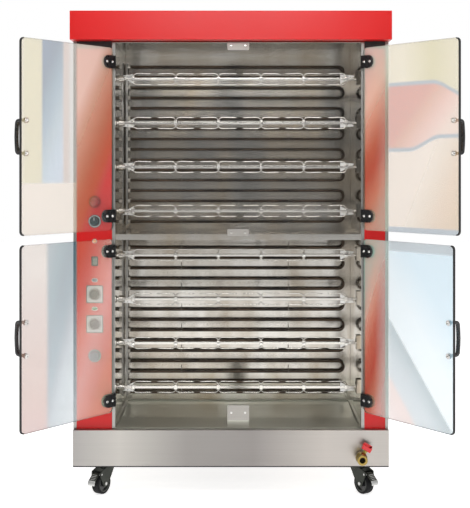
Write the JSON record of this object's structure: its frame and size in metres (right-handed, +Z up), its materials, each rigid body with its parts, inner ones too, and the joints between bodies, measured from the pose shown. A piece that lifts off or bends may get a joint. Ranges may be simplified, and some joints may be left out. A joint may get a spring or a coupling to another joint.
{
  "type": "rotisserie oven",
  "caption": "Floor-standing rotisserie oven: red and stainless cabinet on casters, with stacked level spits turned by a chain behind hinged glass doors, and a grease drain.",
  "frame": {"origin": "on the floor, under the centre of the whole oven's box with the doors open at rest", "axes": "+Z up; +Y from the front, where the doors are, to the back; +X to the right seen from the front"},
  "size_m": [1.563, 1.0484, 1.812],
  "materials": {
    "red_paint": "glossy red enamel",
    "brushed_steel": "brushed stainless",
    "mirror_steel": "mirror-polished stainless",
    "door_glass": "clear toughened glass",
    "black_plastic": "glossy black",
    "spit_steel": "polished stainless",
    "heater_steel": "heat-darkened steel",
    "brass": "cast brass",
    "red_plastic": "red plastic",
    "dark_knob": "dark plastic",
    "grey_knob": "grey plastic",
    "light_knob": "light grey plastic",
    "rubber": "black rubber",
    "zinc": "dark zinc plate",
    "cast_aluminium": "cast aluminium"
  },
  "bodies": {
    "cabinet": {"base_plinth": "brushed_steel", "drip_pan": "brushed_steel", "left_column": "red_paint", "right_column": "red_paint", "left_side_panel": "brushed_steel", "right_side_panel": "brushed_steel", "canopy": "red_paint", "rear_panel": "brushed_steel", "left_inner_wall": "mirror_steel", "right_inner_wall": "mirror_steel", "cavity_liner": "mirror_steel", "mid_divider": "mirror_steel", "left_door_jamb": "brushed_steel", "right_door_jamb": "brushed_steel", "upper_heaters": "heater_steel", "lower_heaters": "heater_steel", "drain_valve": "brass", "drive_chain": "zinc", "gearmotor": "cast_aluminium"},
    "left_upper_door": {"left_upper_door_glass": "door_glass", "left_upper_handle": "black_plastic", "left_upper_clamp_top": "black_plastic", "left_upper_clamp_bottom": "black_plastic"},
    "left_lower_door": {"left_lower_door_glass": "door_glass", "left_lower_handle": "black_plastic", "left_lower_clamp_top": "black_plastic", "left_lower_clamp_bottom": "black_plastic"},
    "right_upper_door": {"right_upper_door_glass": "door_glass", "right_upper_handle": "black_plastic", "right_upper_clamp_top": "black_plastic", "right_upper_clamp_bottom": "black_plastic"},
    "right_lower_door": {"right_lower_door_glass": "door_glass", "right_lower_handle": "black_plastic", "right_lower_clamp_top": "black_plastic", "right_lower_clamp_bottom": "black_plastic"},
    "spit_1": {"spit_1": "spit_steel"},
    "spit_2": {"spit_2": "spit_steel"},
    "spit_3": {"spit_3": "spit_steel"},
    "spit_4": {"spit_4": "spit_steel"},
    "spit_5": {"spit_5": "spit_steel"},
    "spit_6": {"spit_6": "spit_steel"},
    "spit_7": {"spit_7": "spit_steel"},
    "spit_8": {"spit_8": "spit_steel"},
    "caster_front_left": {"caster_fork_front_left": "zinc"},
    "wheel_front_left": {"caster_wheel_front_left": "rubber"},
    "pedal_front_left": {"brake_pedal_front_left": "brushed_steel"},
    "caster_front_right": {"caster_fork_front_right": "zinc"},
    "wheel_front_right": {"caster_wheel_front_right": "rubber"},
    "pedal_front_right": {"brake_pedal_front_right": "brushed_steel"},
    "caster_rear_left": {"caster_fork_rear_left": "zinc"},
    "wheel_rear_left": {"caster_wheel_rear_left": "rubber"},
    "caster_rear_right": {"caster_fork_rear_right": "zinc"},
    "wheel_rear_right": {"caster_wheel_rear_right": "rubber"},
    "start_button": {"start_button": "red_plastic"},
    "upper_knob": {"upper_knob": "dark_knob"},
    "thermostat_knob_upper": {"thermostat_knob_upper": "grey_knob"},
    "thermostat_knob_lower": {"thermostat_knob_lower": "grey_knob"},
    "timer_knob": {"timer_knob": "light_knob"},
    "rocker_switch": {"rocker_switch": "black_plastic"},
    "drain_lever": {"drain_lever": "red_plastic"}
  },
  "joints": [
    {"name": "left_upper_door_hinge", "type": "hinge", "parent": "cabinet", "child": "left_upper_door", "pos_m": [-0.47203, -0.14385, 1.337], "axis": [0, 0, 1], "range_deg": [-23, 127]},
    {"name": "left_lower_door_hinge", "type": "hinge", "parent": "cabinet", "child": "left_lower_door", "pos_m": [-0.47203, -0.14385, 0.641], "axis": [0, 0, 1], "range_deg": [-23, 127]},
    {"name": "right_upper_door_hinge", "type": "hinge", "parent": "cabinet", "child": "right_upper_door", "pos_m": [0.46097, -0.14385, 1.337], "axis": [0, 0, -1], "range_deg": [-21, 129]},
    {"name": "right_lower_door_hinge", "type": "hinge", "parent": "cabinet", "child": "right_lower_door", "pos_m": [0.46097, -0.14385, 0.641], "axis": [0, 0, -1], "range_deg": [-24.5, 125.5]},
    {"name": "spit_1_spin", "type": "hinge", "parent": "cabinet", "child": "spit_1", "pos_m": [-0.00553, 0.07915, 1.579], "axis": [1, 0, 0], "continuous": true},
    {"name": "spit_2_spin", "type": "hinge", "parent": "cabinet", "child": "spit_2", "pos_m": [-0.00553, 0.07915, 1.4058], "axis": [1, 0, 0], "continuous": true},
    {"name": "spit_3_spin", "type": "hinge", "parent": "cabinet", "child": "spit_3", "pos_m": [-0.00553, 0.07915, 1.2326], "axis": [1, 0, 0], "continuous": true},
    {"name": "spit_4_spin", "type": "hinge", "parent": "cabinet", "child": "spit_4", "pos_m": [-0.00553, 0.07915, 1.0594], "axis": [1, 0, 0], "continuous": true},
    {"name": "spit_5_spin", "type": "hinge", "parent": "cabinet", "child": "spit_5", "pos_m": [-0.00553, 0.07915, 0.8862], "axis": [1, 0, 0], "continuous": true},
    {"name": "spit_6_spin", "type": "hinge", "parent": "cabinet", "child": "spit_6", "pos_m": [-0.00553, 0.07915, 0.713], "axis": [1, 0, 0], "continuous": true},
    {"name": "spit_7_spin", "type": "hinge", "parent": "cabinet", "child": "spit_7", "pos_m": [-0.00553, 0.07915, 0.5398], "axis": [1, 0, 0], "continuous": true},
    {"name": "spit_8_spin", "type": "hinge", "parent": "cabinet", "child": "spit_8", "pos_m": [-0.00553, 0.07915, 0.3666], "axis": [1, 0, 0], "continuous": true},
    {"name": "swivel_front_left", "type": "hinge", "parent": "cabinet", "child": "caster_front_left", "pos_m": [-0.50703, -0.07585, 0.098], "axis": [0, 0, 1], "continuous": true},
    {"name": "roll_front_left", "type": "hinge", "parent": "caster_front_left", "child": "wheel_front_left", "pos_m": [-0.52303, -0.10356, 0.04], "axis": [0.866, -0.5, 0], "continuous": true},
    {"name": "brake_front_left", "type": "hinge", "parent": "caster_front_left", "child": "pedal_front_left", "pos_m": [-0.53553, -0.12521, 0.079], "axis": [-0.866, 0.5, 0], "range_deg": [0, 20]},
    {"name": "swivel_front_right", "type": "hinge", "parent": "cabinet", "child": "caster_front_right", "pos_m": [0.45097, -0.07585, 0.098], "axis": [0, 0, 1], "continuous": true},
    {"name": "roll_front_right", "type": "hinge", "parent": "caster_front_right", "child": "wheel_front_right", "pos_m": [0.46933, -0.10206, 0.04], "axis": [0.8192, 0.5736, 0], "continuous": true},
    {"name": "brake_front_right", "type": "hinge", "parent": "caster_front_right", "child": "pedal_front_right", "pos_m": [0.48367, -0.12254, 0.079], "axis": [-0.8192, -0.5736, 0], "range_deg": [0, 20]},
    {"name": "swivel_rear_left", "type": "hinge", "parent": "cabinet", "child": "caster_rear_left", "pos_m": [-0.50703, 0.44415, 0.098], "axis": [0, 0, 1], "continuous": true},
    {"name": "roll_rear_left", "type": "hinge", "parent": "caster_rear_left", "child": "wheel_rear_left", "pos_m": [-0.49103, 0.47187, 0.04], "axis": [-0.866, 0.5, 0], "continuous": true},
    {"name": "swivel_rear_right", "type": "hinge", "parent": "cabinet", "child": "caster_rear_right", "pos_m": [0.45097, 0.44415, 0.098], "axis": [0, 0, 1], "continuous": true},
    {"name": "roll_rear_right", "type": "hinge", "parent": "caster_rear_right", "child": "wheel_rear_right", "pos_m": [0.44269, 0.47506, 0.04], "axis": [-0.9659, -0.2588, 0], "continuous": true},
    {"name": "start_button_press", "type": "slide", "parent": "cabinet", "child": "start_button", "axis": [0, 1, 0], "range_m": [0, 0.004], "stiffness_N_per_m": 600, "springref_m": -0.002},
    {"name": "upper_knob_turn", "type": "hinge", "parent": "cabinet", "child": "upper_knob", "pos_m": [-0.54403, -0.13085, 1.029], "axis": [0, 1, 0], "range_deg": [0, 180]},
    {"name": "thermostat_knob_upper_turn", "type": "hinge", "parent": "cabinet", "child": "thermostat_knob_upper", "pos_m": [-0.54403, -0.13085, 0.755], "axis": [0, 1, 0], "range_deg": [0, 270]},
    {"name": "thermostat_knob_lower_turn", "type": "hinge", "parent": "cabinet", "child": "thermostat_knob_lower", "pos_m": [-0.54403, -0.13085, 0.643], "axis": [0, 1, 0], "range_deg": [0, 270]},
    {"name": "timer_knob_turn", "type": "hinge", "parent": "cabinet", "child": "timer_knob", "pos_m": [-0.54403, -0.13085, 0.524], "axis": [0, 1, 0], "range_deg": [0, 300]},
    {"name": "rocker_tilt", "type": "hinge", "parent": "cabinet", "child": "rocker_switch", "pos_m": [-0.54403, -0.12785, 0.879], "axis": [-1, 0, 0], "range_deg": [0, 16]},
    {"name": "drain_lever_turn", "type": "hinge", "parent": "cabinet", "child": "drain_lever", "pos_m": [0.46697, -0.19285, 0.18644], "axis": [0.5, 0, 0.866], "range_deg": [0, 90]}
  ],
  "couplings": [
    {"joint": "spit_2_spin", "follows": "spit_1_spin", "ratio": 1},
    {"joint": "spit_3_spin", "follows": "spit_1_spin", "ratio": 1},
    {"joint": "spit_4_spin", "follows": "spit_1_spin", "ratio": 1},
    {"joint": "spit_5_spin", "follows": "spit_1_spin", "ratio": 1},
    {"joint": "spit_6_spin", "follows": "spit_1_spin", "ratio": 1},
    {"joint": "spit_7_spin", "follows": "spit_1_spin", "ratio": 1},
    {"joint": "spit_8_spin", "follows": "spit_1_spin", "ratio": 1}
  ]
}
